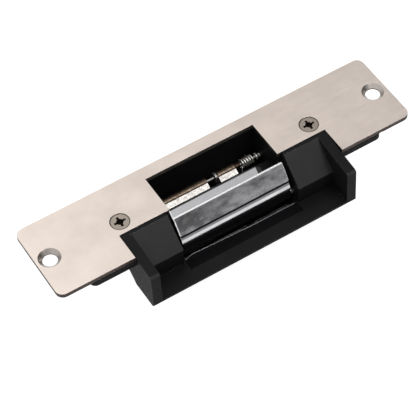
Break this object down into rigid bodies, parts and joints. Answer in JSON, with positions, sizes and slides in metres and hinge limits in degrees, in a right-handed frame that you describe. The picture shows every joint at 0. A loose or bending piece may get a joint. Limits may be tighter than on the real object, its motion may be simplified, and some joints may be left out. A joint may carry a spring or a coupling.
{
  "type": "electric door strike",
  "caption": "Mortise electric door strike: notched steel face plate, black tray body, swinging chrome keeper and magnet-driven locking lever.",
  "frame": {"origin": "middle of the part's bounding box, on the outer face of the rear cover", "axes": "+X along the face plate, +Z out of the plate's front face, +Y away from the lip side where the keeper opens"},
  "size_m": [0.15, 0.0436, 0.028],
  "materials": {
    "face_plate": "warm stainless, fine brushed grain along the plate",
    "plate_screws": "plain steel, slightly dull",
    "body": "black satin powder coat on a die casting",
    "keeper": "polished chrome plate",
    "pin_steel": "bright turned steel",
    "zinc_plated": "pale yellowish zinc plate",
    "springs": "bright spring steel",
    "bronze": "dark bronze",
    "rubber": "matt black rubber",
    "iron": "soft iron, thin oil film",
    "cover": "zinc-plated sheet steel",
    "nylon": "natural nylon",
    "copper": "enamelled copper wire",
    "tape": "amber insulating tape",
    "terminal": "green moulded plastic",
    "diode": "black epoxy, tinned leads"
  },
  "bodies": {
    "strike": {"face_plate": "face_plate", "plate_screw_left": "plate_screws", "plate_screw_right": "plate_screws", "strike_body": "body", "keeper_pin": "pin_steel", "cover_screw_1": "pin_steel", "cover_screw_2": "pin_steel", "cover_screw_3": "pin_steel", "cover_screw_4": "pin_steel", "pole_screw_left": "pin_steel", "pole_screw_right": "pin_steel", "terminal_screw_1": "pin_steel", "terminal_screw_2": "pin_steel", "lever_pin": "zinc_plated", "lever_collar": "zinc_plated", "keeper_spring": "springs", "lever_spring": "springs", "lever_clip": "springs", "lever_end_ring": "springs", "lever_spacer": "bronze", "keeper_bumper_left": "rubber", "keeper_bumper_right": "rubber", "latch_button": "rubber", "lever_stop": "rubber", "lead_grommet": "rubber", "pole_plate_left": "iron", "pole_plate_right": "iron", "coil_core": "iron", "rear_cover": "cover", "coil_bobbin": "nylon", "coil_winding": "copper", "coil_tape": "tape", "terminal_block": "terminal", "suppression_diode": "diode"},
    "keeper": {"keeper": "keeper"},
    "lever": {"locking_lever": "zinc_plated"}
  },
  "joints": [
    {"name": "keeper_swing", "type": "hinge", "parent": "strike", "child": "keeper", "pos_m": [0, -0.0071, 0.012], "axis": [1, 0, 0], "range_deg": [0, 88], "stiffness_Nm_per_rad": 0.02, "springref_deg": -34.38, "deforming": ["keeper_spring"]},
    {"name": "lever_lock", "type": "hinge", "parent": "strike", "child": "lever", "pos_m": [0, 0.0116, 0.0157], "axis": [-1, 0, 0], "range_deg": [0, 6], "stiffness_Nm_per_rad": 0.02, "springref_deg": -22.92, "deforming": ["lever_spring"]}
  ]
}
